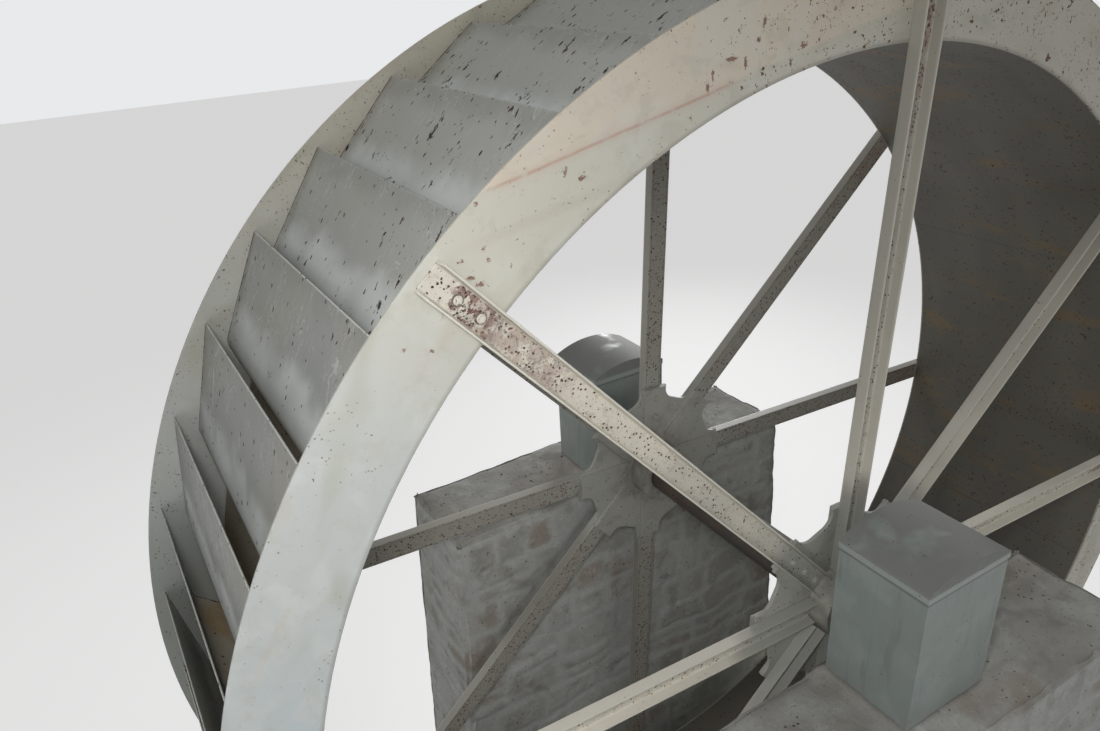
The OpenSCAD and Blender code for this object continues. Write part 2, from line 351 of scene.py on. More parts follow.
def cream_finish():
    """Cream paint of the shrouds: smears, fine specks, a few flakes, and a thin reddish stain line."""
    c = paints()
    f = Finish("cream_paint", c.cream, rough=0.46)
    broad = f.noise(1.5, 2.0)
    f.layer(broad.rise(0.42, 0.66) * 0.45, (0.62, 0.60, 0.53))
    # Warmer over the stain line, cooler and paler below it; down the flank, painted daylight makes it cooler
    # and bluish white toward the bottom
    over = f.z - STAIN_Z - f.x * STAIN_RISE
    f.layer(over.rise(0.0, 0.012) * f.y.rise(-0.5, -0.6) * 0.60, (0.70, 0.61, 0.50))
    f.layer(over.rise(-0.001, -0.014) * f.angle.rise(-0.95, -0.70) * 0.30, (0.60, 0.61, 0.54))
    f.layer(abs(over + 0.125 + (broad - 0.5) * 0.05).rise(0.026, 0.004) * f.angle.rise(-0.75, -0.62) * 0.22,
            (0.42, 0.39, 0.31))
    # Painted daylight: cooler grey down the flank, and bluish white lower still
    f.layer(f.angle.rise(-0.64, -1.00) * 0.9, (0.475, 0.50, 0.495))
    f.layer(f.angle.rise(-1.05, -1.60) * f.noise(2.2, 2.0, shift=2.0).rise(0.05, 0.42), c.painted_daylight_cream)
    f.layer(f.noise(6.0, 2.0, 0.62, warp=0.5, shift=7.0).rise(0.50, 0.64) * 0.30, (0.62, 0.635, 0.60))
    f.layer(f.angle.rise(-0.25, 0.35) * 0.30, (0.40, 0.375, 0.31))
    f.layer(f.noise(13.0, 3.0, 0.68, warp=0.3, shift=5.0).rise(0.52, 0.68) * 0.28, (0.44, 0.42, 0.35),
            rough=0.58)
    smear = f.noise(5.0, 2.0, 0.62, f.around(0.35, 1.0), warp=0.6, shift=8.0)
    f.layer(smear.rise(0.54, 0.72) * 0.42, (0.36, 0.36, 0.27), rough=0.6)
    f.layer(smear.rise(0.40, 0.28) * 0.35, (0.50, 0.40, 0.32), rough=0.55)
    # Painted shadow on the lower left of the far shroud
    f.layer(f.y.rise(0.5, 0.6) * f.angle.rise(-1.15, -1.50) * 0.88, (0.17, 0.19, 0.185))
    # Darker toward the inner edge, and darker and browner on the inner face between the buckets
    f.layer(f.r.rise(RIM_R - 0.262, RIM_R - 0.278) * 0.35, c.grime)
    f.layer(f.side.rise(FACE_Y - 0.003, FACE_Y - 0.006) * 0.22, (0.50, 0.46, 0.36))
    specks = f.dots(0.0035, 0.17)
    f.layer(specks * f.noise(4.0, 2.0, shift=4.0).rise(0.42, 0.62) * 0.75, (0.20, 0.17, 0.13), rough=0.7)
    # More flakes over the crown of the wheel, few on its flanks
    crown = f.angle.rise(-0.75, 0.1)
    f.rust(f.flakes(0.017, 0.740 - crown * 0.095), red=0.65)
    f.rust(f.flakes(0.007, 0.735 - crown * 0.07, shift=9.0), red=0.25)
    f.rust(f.flakes(0.028, 0.80 - crown * 0.135, shift=21.0), red=0.9)
    # Chips near the ends of the buckets
    ends = f.side.rise(INNER_Y + 0.002, INNER_Y + 0.001) * f.r.rise(RIM_R - 0.15, RIM_R - 0.12)
    f.rust(f.flakes(0.008, 0.665 + (1 - ends) * 0.3, shift=15.0), red=0.5)
    near = f.y.rise(-FACE_Y + 0.006, -FACE_Y + 0.002)
    # Chips beside the spoke end and above it
    wobble = (f.noise(105.0, 5.0, 0.8) - 0.5) * 0.052
    chips = 0.0
    for x, z, size, tall in CHIPS:
        dx, dz = (f.x - x) * tall, (f.z - z) / tall
        away = (dx * dx + dz * dz).root() + wobble
        chips = away.rise(size, size - 0.003).most(chips)
    f.rust(chips * near, red=0.8)
    paler = f.noise(190.0, 3.0, shift=2.0).rise(0.36, 0.52)
    f.layer(chips * near * paler * 0.8, (0.33, 0.215, 0.165), rough=0.8)
    # Stain line: straight across the shroud, rising slowly
    line = abs(over + (f.noise(7.0, 2.0) - 0.5) * 0.012)
    span = f.x.rise(-1.45, -1.38) * f.x.rise(-0.60, -0.75)
    broken = f.noise(24.0, 3.0, shift=6.0).rise(0.30, 0.52)
    f.layer(line.rise(0.0065, 0.001) * span * broken * near * 0.75, (0.50, 0.30, 0.24))
    f.layer(line.rise(0.030, 0.004) * span * near * 0.22, (0.55, 0.40, 0.33))
    f.relief = (f.noise(3.2, 2.0) * 0.0035 + f.noise(38.0, 3.0) * 0.00022) + f.relief
    return f.done()


def spoke_finish():
    """Cream paint of the channels, speckled with rust on the web and nearly clean on the flange tips."""
    c = paints()
    f = Finish("spoke_paint", c.spoke, rough=0.5)
    # Distance across, from the middle line of the nearest spoke
    turn = (f.x.maths("ARCTAN2", f.z, f.x) - TURN) / PITCH
    part = (turn - turn.maths("FLOOR", turn + 0.5)) * PITCH
    across = abs(f.r * part.wave())
    web = across.rise(TOE + 0.0013, TOE - 0.0007) * f.side.rise(WEB_Y + 0.0035, WEB_Y + 0.0015)
    back = f.side.rise(FACE_Y + 0.0012, FACE_Y + 0.0004)
    # The flat web on both faces, without the discs of the two end bolts
    outer, inner = (((f.r - at) * (f.r - at) + across * across).root() for at in SPOKE_BOLTS)
    disc = outer.least(inner)
    flat = web.most(back) * disc.rise(0.0150, 0.0195)
    f.layer(f.noise(2.5, 2.0).rise(0.4, 0.65) * 0.5, (0.47, 0.45, 0.41))
    f.layer(f.noise(16.0, 3.0, shift=1.0).rise(0.48, 0.66) * 0.35, (0.60, 0.57, 0.50))
    # Painted light: whatever stands off the web, chiefly the inner faces of the flanges, is lighter, to lift
    # the shade in the channel
    f.layer(f.side.rise(WEB_Y + 0.0035, WEB_Y + 0.008) * 0.5, (0.68, 0.655, 0.575))
    # Painted shade: darker on the far side of the wheel and high up on the right, where the lamp's light
    # falls off; also darker low on the near side
    f.layer(f.y.rise(0.3, 0.5) * 0.80, (0.29, 0.285, 0.25))
    f.layer(f.z.rise(-0.10, -0.45) * f.y.rise(-0.3, -0.5) * 0.60, (0.26, 0.255, 0.245))
    f.layer(f.z.rise(0.3, 1.6) * 0.62 * f.x.rise(-1.0, -0.15), (0.34, 0.325, 0.28))
    tips = f.side.rise(WEB_Y + 0.033, WEB_Y + 0.039)
    f.layer(tips * 0.6, (0.64, 0.61, 0.53), rough=0.42)
    # Thin paint over rust, from the shroud inwards
    thin = f.r.rise(1.80, 1.92) * f.r.rise(2.30, 2.20)
    f.layer(flat * thin * f.noise(22.0, 3.0, shift=2.0).rise(0.36, 0.56) * 0.55, c.rust_pale, rough=0.65)
    f.layer(flat * f.noise(30.0, 3.0, shift=7.0).rise(0.54, 0.68) * 0.30, c.rust_pale, rough=0.65)
    # Old grey undercoat in patches
    f.layer(flat * thin * f.flakes(0.022, 0.60, shift=12.0) * 0.75, (0.31, 0.315, 0.305), rough=0.6)
    # Painted shade: near the hub, whatever stands off the web, bolts and flanges, is darker, toning down the
    # light their sides catch
    f.layer(f.r.rise(0.62, 0.50) * f.side.rise(WEB_Y + 0.0015, WEB_Y + 0.0035) * 0.5, (0.27, 0.26, 0.225))
    # Rusty patches round the end bolts
    ends = f.r.rise(2.13, 2.20) * f.r.rise(2.36, 2.30)
    two_reds = f.mix(f.noise(60.0, 3.0).rise(0.38, 0.58), c.rust_red, (0.30, 0.205, 0.175))
    f.layer(flat * ends * f.flakes(0.017, 0.535, shift=2.0), two_reds, rough=0.8, relief=-0.0003)
    f.rust(flat * ends * f.flakes(0.007, 0.60, shift=6.0), red=0.3)
    f.layer(f.r.rise(0.62, 0.42), c.hub)
    # A painted shadow as a dark ring round each end bolt, and flecks of rust on its head
    ring = disc.rise(0.0188, 0.0168) * disc.rise(0.0128, 0.0136) * f.side.rise(WEB_Y + 0.0045, WEB_Y + 0.0035)
    ring_shadow_strength = f.noise(120.0, 2.0, shift=3.0).rise(0.30, 0.50) * 0.5 + 0.45
    f.layer(ring * ring_shadow_strength, (0.13, 0.10, 0.085), rough=0.8)
    f.rust(disc.rise(0.0140, 0.0130) * f.flakes(0.005, 0.60, shift=17.0), red=0.3)
    dense = 0.46 + thin * 0.44
    f.rust(f.dots(0.0058, dense * flat, ragged=0.6) * f.noise(7.0, 2.0).rise(0.24, 0.42), red=0.35)
    f.layer(flat * thin * f.flakes(0.007, 0.555, shift=4.0) * 0.6, (0.27, 0.225, 0.20), rough=0.75)
    fine_dots = f.dots(0.0036, flat * 0.70, f.place(f.x + 3.0, f.y, f.z), ragged=0.7)
    f.layer(fine_dots * 0.75, (0.17, 0.125, 0.105), rough=0.8)
    f.rust(f.flakes(0.008, 0.70) * (1 - tips), red=0.4)
    # A crack of rust along each toe line, broken here and there
    toe = abs(across - TOE).rise(0.0016, 0.0004) * web
    f.rust(toe * f.noise(20.0, 3.0, shift=4.0).rise(0.36, 0.46), red=0.3)
    f.relief = (f.noise(70.0, 3.0) * 0.00025 + f.noise(9.0, 2.0) * 0.0006) + f.relief
    return f.done()


def hub_finish():
    """Dull grey cream paint over rough cast iron."""
    c = paints()
    f = Finish("hub_paint", c.hub, rough=0.58)
    f.layer(f.noise(4.5, 2.0).rise(0.42, 0.66) * 0.5, (0.43, 0.42, 0.375))
    f.layer(f.noise(11.0, 3.0, 0.62, warp=0.5, shift=3.0).rise(0.52, 0.70) * 0.4, (0.25, 0.24, 0.205))
    # Dirt and old grease close to the boss
    f.layer(f.r.rise(0.30, 0.14) * f.noise(14.0, 3.0).rise(0.30, 0.62) * 0.55, (0.20, 0.185, 0.15), rough=0.5)
    f.rust(f.flakes(0.010, 0.70), red=0.35)
    f.rust(f.dots(0.0045, 0.12), red=0.3)
    f.relief = (f.noise(150.0, 3.0) * 0.00035 + f.noise(24.0, 3.0) * 0.0011) + f.relief
    return f.done()


def sheet_finish():
    """Grey paint of the buckets: flakes and scratches that follow the turn of the wheel, dusty bends."""
    c = paints()
    f = Finish("sheet_paint", c.sheet, rough=0.44)
    along = f.around(0.33, 1.0)
    f.layer(f.noise(1.7, 2.0, shift=1.0).rise(0.40, 0.66) * 0.7, c.sheet_warm)
    f.layer(f.noise(6.0, 2.0, 0.6, along, shift=2.0).rise(0.50, 0.70) * 0.35, (0.225, 0.235, 0.235))
    f.layer(f.angle.rise(-1.10, -0.40) * 0.80, (0.475, 0.485, 0.445))
    # Pale dust settled low on each panel, with a soft ragged border
    drift = f.noise(4.5, 2.0, 0.62, f.around(1.0, 1.0), warp=0.4) - 0.5
    low = (f.r + drift * 0.034).rise(RIM_R - 0.098, RIM_R - 0.119)
    thick = f.noise(2.6, 2.0, shift=9.0).rise(0.36, 0.60) * 0.35 + 0.52
    f.layer(low * thick, c.dust, rough=0.62)
    f.layer((f.r + drift * 0.04).rise(RIM_R - 0.070, RIM_R - 0.044) * 0.42, (0.235, 0.228, 0.20))
    # Inside the buckets: old water stains, over paint made paler as painted light reaching into the pockets
    deep = f.r.rise(RIM_R - 0.125, RIM_R - 0.160)
    f.layer(deep * 0.9, (0.44, 0.40, 0.30), rough=0.75)
    f.layer(deep * f.noise(5.0, 2.0, shift=6.0).rise(0.48, 0.62) * 0.7, (0.46, 0.31, 0.15), rough=0.8)
    # Long thin scratches in loose bunches
    line = f.noise(9.5, 2.0, 0.5, f.around(0.20, 1.0), warp=1.1, shift=4.0)
    fine = f.noise(19.0, 2.0, 0.5, f.around(0.16, 1.0), warp=1.4, shift=7.0)
    hair = f.noise(34.0, 2.0, 0.5, f.around(0.13, 1.0), warp=1.2, shift=11.0)
    bunch = f.noise(6.0, 2.0, shift=5.0).rise(0.38, 0.56)
    f.layer(abs(hair - 0.5).rise(0.010, 0.002) * bunch * 0.7, c.scratch)
    f.layer(abs(line - 0.5).rise(0.008, 0.001) * bunch * 0.85, c.scratch)
    f.layer(abs(fine - 0.52).rise(0.009, 0.001) * bunch * 0.75, c.scratch)
    # Flakes: longer along the turn, more of them near the shrouds and over the crown
    crown = f.angle.rise(-1.15, -0.35)
    sides = f.y.rise(0.10, -0.55) * 0.03 + crown * 0.035 + f.side.rise(0.50, 0.62) * 0.02
    f.rust(f.flakes(0.024, 0.712 - sides, f.around(0.48, 1.0), spread=5.0), red=0.1, depth=0.0006)
    f.rust(f.flakes(0.010, 0.725 - sides, f.around(0.45, 1.0), shift=6.0), red=0.15)
    seam = f.side.rise(INNER_Y - 0.016, INNER_Y - 0.002)
    eaten = f.noise(42.0, 3.0, 0.6, f.around(0.5, 1.0)) + seam * 0.26 - 0.655
    f.rust(eaten.rise(0.0, 0.02) * seam, red=0.7)
    f.rust(f.dots(0.0062, 0.10 + seam * 0.2, f.around(0.5, 1.0), ragged=0.6), red=0.2)
    f.rust(f.flakes(0.009, 0.665, f.around(0.5, 1.0), shift=13.0) * f.side.rise(0.53, 0.60), red=0.3)
    stain = f.side.rise(INNER_Y - 0.007, INNER_Y - 0.001) * f.noise(9.0, 3.0, shift=14.0).rise(0.40, 0.52)
    f.layer(stain * 0.8, c.rust_red, rough=0.8)
    # Painted highlight on the cut edge of the sheets, bright down the flank and dull over the crown
    lip = f.r.rise(RIM_R - 0.0404, RIM_R - 0.0398)
    f.layer(lip * (f.angle.rise(-0.74, -0.82) * 0.60 + 0.15), (0.66, 0.66, 0.62), rough=0.38)
    f.rust(lip * f.noise(60.0, 3.0).rise(0.60, 0.66), red=0.3)
    f.relief = (f.noise(2.6, 2.0, at=f.around(1.0, 0.8)) * 0.006 + f.noise(45.0, 3.0) * 0.00025) + f.relief
    return f.done()


def sole_finish():
    """Dark, water-stained grey brown of the sole."""
    c = paints()
    f = Finish("sole_paint", c.sole, rough=0.62)
    f.layer(f.noise(3.0, 2.0, 0.6, f.around(0.4, 1.0)).rise(0.42, 0.64) * 0.7, (0.165, 0.158, 0.135))
    f.layer(f.noise(7.0, 2.0, 0.65, f.around(1.0, 0.3), shift=3.0).rise(0.54, 0.70) * 0.7, c.ochre)
    # Paler on its outer face inside the buckets: painted light that stands in for light reaching into the
    # pockets
    f.layer(f.r.rise(SOLE_R - 0.003, SOLE_R - 0.001) * 0.85, (0.42, 0.38, 0.29))
    f.rust(f.flakes(0.014, 0.66), red=0.55)
    f.rust(f.dots(0.006, 0.16), red=0.4)
    f.relief = (f.noise(2.6, 2.0) * 0.004 + f.noise(40.0, 3.0) * 0.0005) + f.relief
    return f.done()


def box_finish():
    """Blue grey sheet metal with faint upright streaks, darker and duller on the lid."""
    c = paints()
    f = Finish("box_paint", c.box, rough=0.5)
    streak = f.noise(26.0, 3.0, 0.6, f.place(f.x, f.y, f.z * 0.10))
    f.layer(streak.rise(0.50, 0.68) * 0.45, (0.30, 0.33, 0.315))
    f.layer(f.noise(5.5, 2.0, 0.6, warp=0.4, shift=9.0).rise(0.46, 0.66) * 0.45, (0.36, 0.40, 0.385))
    f.layer(streak.rise(0.44, 0.30) * 0.40, (0.175, 0.195, 0.185))
    f.layer(f.noise(4.0, 2.0, warp=0.5).rise(0.42, 0.62) * 0.30, (0.27, 0.28, 0.25))
    # The arch of the lid, its pale hem, the shadow under the hem, and splashed lime at the foot
    top = f.z.rise(0.468, 0.486)
    f.layer(top * f.noise(6.0, 2.0, shift=3.0).rise(0.24, 0.44), c.box_top, rough=0.72)
    hem = f.z.rise(0.448, 0.456) * f.z.rise(0.480, 0.470)
    f.layer(hem * 0.7, (0.39, 0.43, 0.42))
    f.layer(f.z.rise(0.4485, 0.4465) * f.z.rise(0.436, 0.444) * 0.6, (0.10, 0.11, 0.105))
    splashed = f.z.rise(-0.06, -0.15) * f.noise(13.0, 3.0).rise(0.30, 0.66)
    f.layer(splashed * 0.6, (0.33, 0.33, 0.31), rough=0.75)
    f.rust(f.flakes(0.006, 0.72), red=0.3)
    f.rust(f.dots(0.003, 0.05), red=0.3)
    f.relief = (f.noise(3.4, 2.0) * 0.006 + f.noise(80.0, 3.0) * 0.00012) + f.relief
    return f.done()


def iron_finish():
    """Dark iron, turned and greasy, with rust between."""
    c = paints()
    f = Finish("bare_iron", c.iron, rough=0.45, metal=0.35)
    f.layer(f.noise(14.0, 3.0).rise(0.45, 0.65) * 0.8, (0.13, 0.085, 0.06), rough=0.8, metal=0.0)
    rings = f.noise(300.0, 2.0, at=f.place(f.r * 0.02, f.y, f.angle * 0.01))
    f.layer(rings.rise(0.5, 0.7) * 0.3, (0.16, 0.15, 0.14), rough=0.35)
    f.rust(f.flakes(0.012, 0.62), red=0.5)
    f.relief = (rings * 0.00008 + f.noise(90.0, 3.0) * 0.0003) + f.relief
    return f.done()


def masonry_finish():
    """Limewash over rubble: stones show faintly, joints are paler, and old dirt lies on top."""
    c = paints()
    f = Finish("limewash", c.lime, rough=0.9)
    tone = f.node("Attribute", {"attribute_name": "tone"}, {}, out="Fac")
    joint = f.node("Attribute", {"attribute_name": "joint"}, {}, out="Fac")
    worn = f.noise(3.2, 2.0, 0.6).rise(0.40, 0.62)
    # Each stone has its own tone, and a few are redder
    stone = f.mix(tone, c.stone, (0.37, 0.36, 0.325))
    stone = f.mix(tone.rise(0.80, 0.84), stone, (0.30, 0.24, 0.19))
    f.layer((1 - joint) * (worn * 0.55 + 0.16), stone)
    f.layer(f.noise(17.0, 3.0, 0.65, warp=0.4, shift=2.0).rise(0.50, 0.68) * 0.45, (0.56, 0.56, 0.54))
    f.layer(f.noise(8.0, 2.0, 0.6, shift=5.0).rise(0.54, 0.72) * 0.5, (0.24, 0.225, 0.19))
    f.layer(f.noise(70.0, 3.0, 0.6, shift=4.0).rise(0.60, 0.70) * 0.55, (0.16, 0.145, 0.12))
    # Brown crumbs of rust fallen on the top, and damp toward the foot
    flat_top = f.z.rise(PIER_TOP - AXLE.z - 0.05, PIER_TOP - AXLE.z - 0.02)
    f.layer(flat_top * f.noise(2.8, 2.0, 0.6, shift=6.0).rise(0.30, 0.62) * 0.55, (0.255, 0.235, 0.21))
    heap = f.noise(3.5, 2.0, shift=7.0).rise(0.50, 0.66)
    f.layer(f.dots(0.009, 0.16 * heap) * flat_top, f.mix(0.4, c.rust_dark, c.rust_red))
    f.layer(f.dots(0.006, 0.04 + 0.14 * heap, f.place(f.x + 2.0, f.y, f.z)) * 0.8, c.rust_dark)
    damp = (f.z + (f.noise(2.4, 2.0) - 0.5) * 0.8).rise(-1.95, -2.45)
    f.layer(damp * 0.45, (0.19, 0.20, 0.165))
    f.relief = f.noise(55.0, 3.0, 0.65) * 0.004 + f.noise(190.0, 3.0) * 0.0012 + f.relief
    return f.done(sheen=0.2)


FINISHES = {"cream": cream_finish, "spoke": spoke_finish, "hub": hub_finish, "sheet": sheet_finish,
            "sole": sole_finish, "box": box_finish, "iron": iron_finish, "masonry": masonry_finish}
made_finishes = {}


def finish(name):
    """The named material, made on its first use."""
    if name not in made_finishes:
        made_finishes[name] = FINISHES[name]()
    return made_finishes[name]


# Meshes

def new_piece(name, bm, body, material, smooth=38.0, even=True):
    """Turns a bmesh into a finished piece that rides on a body."""
    bm.normal_update()
    mesh = bpy.data.meshes.new(name)
    bm.to_mesh(mesh)
    bm.free()
    if not mesh.polygons:
        raise RuntimeError(f"{name} has no faces")
    mesh.materials.append(finish(material))
    mesh.polygons.foreach_set("use_smooth", [True] * len(mesh.polygons))
    mesh.set_sharp_from_angle(angle=math.radians(smooth))
    piece = bpy.data.objects.new(name, mesh)
    bpy.context.scene.collection.objects.link(piece)
    if even:
        weighted = piece.modifiers.new("Even shading", "WEIGHTED_NORMAL")
        weighted.keep_sharp = True
    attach(piece, body)
    return piece


def node_copy(node, weld=0.0004):
    """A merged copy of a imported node, with its flat faces joined again."""
    bm = bmesh.new()
    bm.from_mesh(frame["nodes"][node].data)
    bmesh.ops.remove_doubles(bm, verts=bm.verts[:], dist=weld)
    bmesh.ops.dissolve_limit(bm, angle_limit=math.radians(0.4), verts=bm.verts[:], edges=bm.edges[:])
    return bm


def round_edges(bm, width, inward, segments=2, least=30.0):
    """Bevels the outer edges, or the inner corners, that are sharper than an angle in degrees."""
    sign = -1 if inward else 1
    limit = math.radians(least)
    edges = [e for e in bm.edges if len(e.link_faces) == 2 and sign * e.calc_face_angle_signed(0.0) > limit]
    if edges:
        bmesh.ops.bevel(bm, geom=edges, offset=width, offset_type="OFFSET", affect="EDGES",
                        segments=segments, profile=0.5, material=-1, clamp_overlap=True)


def softened(name, nodes, body, material, edge, fillet=0.0):
    """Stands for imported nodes, with their edges rounded as paint and wear leave them."""
    bm = bmesh.new()
    for node in nodes:
        part = node_copy(node)
        if fillet:
            round_edges(part, fillet, True, segments=4)
        round_edges(part, edge, False)
        mesh = bpy.data.meshes.new("part")
        part.to_mesh(mesh)
        part.free()
        bm.from_mesh(mesh)
        bpy.data.meshes.remove(mesh)
    piece = new_piece(name, bm, body, material)
    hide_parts(*nodes)
    return piece


def add_round(bm, at, radius, low, high, sides, top=1.0, turn=0.0):
    """A round or many-sided block standing along Y from y=low to y=high, chamfered at its outer end."""
    cone = bmesh.ops.create_cone(bm, cap_ends=True, segments=sides, radius1=radius, radius2=radius * top,
                                 depth=abs(high - low))
    sign = 1 if high > low else -1
    spin = Matrix.Rotation(-sign * math.pi / 2, 4, "X") @ Matrix.Rotation(turn, 4, "Z")
    middle = Vector((at.x, (low + high) / 2, at.z))
    bmesh.ops.transform(bm, matrix=Matrix.Translation(middle) @ spin, verts=cone["verts"])
    return cone["verts"]


def add_bolt(bm, at, seat, out, rng, across, washer, tall=0.5):
    """A washer and a hexagon head on the plane y=seat, standing out along out (+1 or -1).

    tall is the height of the head as a share of its width across the flats.
    """
    sunk, thick = 0.001, 0.0028
    add_round(bm, at, washer, seat - out * sunk, seat + out * thick, 22, top=0.95)
    foot = 0.002
    top = foot + across * tall
    verts = add_round(bm, at, across / math.sqrt(3), seat + out * foot, seat + out * top, 6,
                      turn=rng.uniform(0, math.pi))
    high = [v for v in verts if abs(v.co.y - seat) > across * tall * 0.8]
    # The six edges of the outer face, each once and in a fixed order
    rim = list(dict.fromkeys(e for v in high for e in v.link_edges if all(w in high for w in e.verts)))
    bmesh.ops.bevel(bm, geom=rim, offset=across * 0.10, offset_type="OFFSET", affect="EDGES",
                    segments=2, profile=0.5, material=-1, clamp_overlap=True)


# Operators, one for each piece or group of like pieces

class WHEEL_OT_shrouds(bpy.types.Operator):
    """Side plates of the wheel, with softened edges and flaking cream paint"""
    bl_idname = "wheel.shrouds"
    bl_label = "Shrouds"

    def execute(self, context):
        for side, _ in SIDES:
            softened(f"{side}_shroud_plates", [f"{side}_shroud"], "wheel", "cream",
                     edge=0.0006)
        return {"FINISHED"}


class WHEEL_OT_seams(bpy.types.Operator):
    """Filler, painted over, in the butt joints between the plates of the shrouds"""
    bl_idname = "wheel.seams"
    bl_label = "Shroud seams"

    def execute(self, context):
        s = sizes()
        # A bar ends 1.5 mm short of the edges of its plates
        size = (RIM_R - SOLE_R - 0.003, FACE_Y - INNER_Y - 2 * s.seam_sunk, s.seam)
        for side, sign in SIDES:
            bm = bmesh.new()
            for k in range(SPOKES):
                angle = TURN + JOINT_TURN + k * PITCH
                bar = bmesh.ops.create_cube(bm, size=1.0)["verts"]
                bmesh.ops.scale(bm, vec=size, verts=bar)
                middle = turned(angle, (RIM_R + SOLE_R) / 2, sign * (FACE_Y + INNER_Y) / 2)
                bmesh.ops.transform(bm, matrix=Matrix.Translation(middle) @ Matrix.Rotation(-angle, 4, "Y"),
                                    verts=bar)
            new_piece(f"{side}_shroud_seams", bm, "wheel", "cream", even=False)
        return {"FINISHED"}


class WHEEL_OT_buckets(bpy.types.Operator):
    """Bent sheets of the forty buckets, and the sole that closes them"""
    bl_idname = "wheel.buckets"
    bl_label = "Buckets and sole"

    def execute(self, context):
        for k in range(1, SPOKES + 1):
            softened(f"bucket_sheets_{k}", [f"buckets_{k}"], "wheel", "sheet", edge=0.001)
        for slot in frame["nodes"]["sole_plates"].material_slots:
            slot.material = finish("sole")
        return {"FINISHED"}


class WHEEL_OT_spokes(bpy.types.Operator):
    """Rolled channels of both sides, with fillets between web and flanges"""
    bl_idname = "wheel.spokes"
    bl_label = "Spokes"

    def execute(self, context):
        s = sizes()
        for side, _ in SIDES:
            for k in range(1, SPOKES + 1):
                softened(f"{side}_channel_{k}", [f"{side}_spoke_{k}"], "wheel", "spoke",
                         s.edge, s.fillet)
        return {"FINISHED"}


class WHEEL_OT_hubs(bpy.types.Operator):
    """Cast hubs with fillets in their inner corners"""
    bl_idname = "wheel.hubs"
    bl_label = "Hubs"

    def execute(self, context):
        s = sizes()
        for side, _ in SIDES:
            softened(f"{side}_spider", [f"{side}_hub"], "wheel", "hub", edge=0.0025,
                     fillet=s.cast_fillet)
        return {"FINISHED"}


class WHEEL_OT_bolts(bpy.types.Operator):
    """Bolts that hold the spokes to the shrouds and to the hub arms"""
    bl_idname = "wheel.bolts"
    bl_label = "Bolts"

    def execute(self, context):
        s = sizes()
        rng = random.Random(s.seed)
        for side, sign in SIDES:
            heads, nuts = bmesh.new(), bmesh.new()
            for k in range(SPOKES):
                angle = TURN + k * PITCH
                for along in SPOKE_BOLTS:
                    at = turned(angle, along)
                    add_bolt(heads, at, sign * WEB_Y, sign, rng, s.bolt, s.washer)
                    add_bolt(heads, at, sign * INNER_Y, -sign, rng, s.bolt, s.washer)
                for along in HUB_BOLTS:
                    at = turned(angle, along)
                    add_bolt(heads, at, sign * WEB_Y, sign, rng, s.hub_bolt, s.hub_washer, tall=0.34)
                    add_bolt(nuts, at, sign * HUB_BACK_Y, -sign, rng, s.hub_bolt, s.hub_washer)
            new_piece(f"{side}_spoke_bolts", heads, "wheel", "spoke", even=False)
            new_piece(f"{side}_hub_nuts", nuts, "wheel", "hub", even=False)
        return {"FINISHED"}


class WHEEL_OT_shaft(bpy.types.Operator):
    """Axle with turned steps at both ends"""
    bl_idname = "wheel.shaft"
    bl_label = "Shaft"

    def execute(self, context):
        softened("axle", ["shaft"], "wheel", "iron", edge=0.004, fillet=0.006)
        return {"FINISHED"}


class WHEEL_OT_bearings(bpy.types.Operator):
    """Pedestal bearings and their caps inside the covers"""
    bl_idname = "wheel.bearings"
    bl_label = "Bearings"

    def execute(self, context):
        for side, _ in SIDES:
            for piece, node in (("pedestal", "bearing"), ("pedestal_cap", "bearing_cap")):
                softened(f"{side}_{piece}", [f"{side}_{node}"], "supports", "iron", edge=0.003)
        return {"FINISHED"}


class WHEEL_OT_covers(bpy.types.Operator):
    """Sheet metal covers over the bearings, and their arched lids"""
    bl_idname = "wheel.covers"
    bl_label = "Bearing covers"

    def execute(self, context):
        for side, _ in SIDES:
            for piece, node, edge in (("bearing_box", "cover", 0.0011), ("box_lid", "cover_lid", 0.0013)):
                softened(f"{side}_{piece}", [f"{side}_{node}"], "supports", "box", edge)
        return {"FINISHED"}


